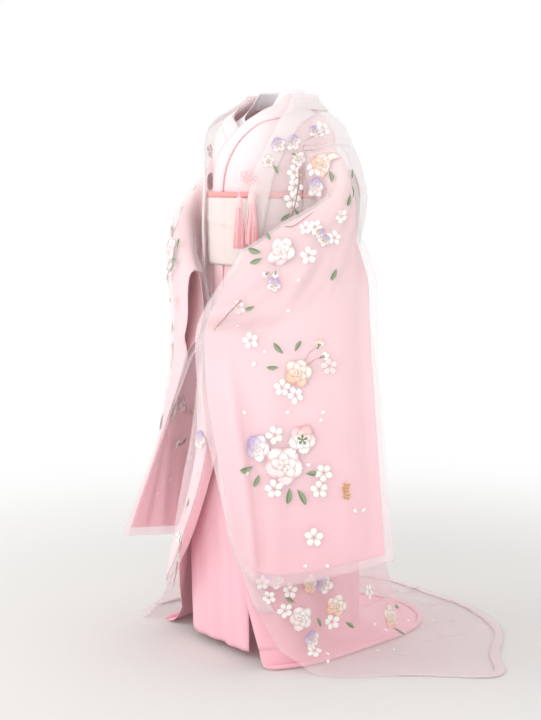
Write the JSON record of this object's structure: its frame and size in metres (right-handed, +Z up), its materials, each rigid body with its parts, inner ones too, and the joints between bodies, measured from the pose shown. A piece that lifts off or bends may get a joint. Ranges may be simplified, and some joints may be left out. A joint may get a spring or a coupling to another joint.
{
  "type": "uchikake wedding kimono, worn form: embroidered organza over-robe over its matched trailing silk under-robe, tied with its obi",
  "caption": "Worn trailing wedding kimono: sheer embroidered organza over-robe on a pink silk under-robe with obi, sash and tassel; hollow, no wearer.",
  "frame": {"origin": "middle of the wearer's shoulders, where the neck rises out of the robe; the floor lies 1.38 m below", "axes": "+Z up, the wearer faces -Y, +X to the wearer's left"},
  "size_m": [1.0639, 0.9606, 1.4523],
  "materials": {
    "organza": "sheer silk organza, semi-transparent, with embroidered flowers",
    "pink_silk": "silk satin, pale at the shoulders and deeper pink at the hem",
    "white_silk": "matt white silk",
    "obi_silk": "woven silk, soft sheen",
    "coral_silk": "silk crepe and silk cord, matt"
  },
  "bodies": {
    "root": {"over_body_left": "organza", "over_body_right": "organza", "over_sleeve_left": "organza", "over_sleeve_right": "organza", "over_collar": "organza", "over_hem_left": "organza", "over_hem_right": "organza", "under_body_left": "pink_silk", "under_body_right": "pink_silk", "under_sleeve_left": "pink_silk", "under_sleeve_right": "pink_silk", "under_collar": "pink_silk", "under_hem_left": "pink_silk", "under_hem_right": "pink_silk", "under_inner_front": "pink_silk", "white_collar": "white_silk", "obi": "obi_silk", "obi_knot": "obi_silk", "obi_sash": "coral_silk", "tassel_knot": "coral_silk", "tassel_one": "coral_silk", "tassel_two": "coral_silk"}
  },
  "joints": []
}
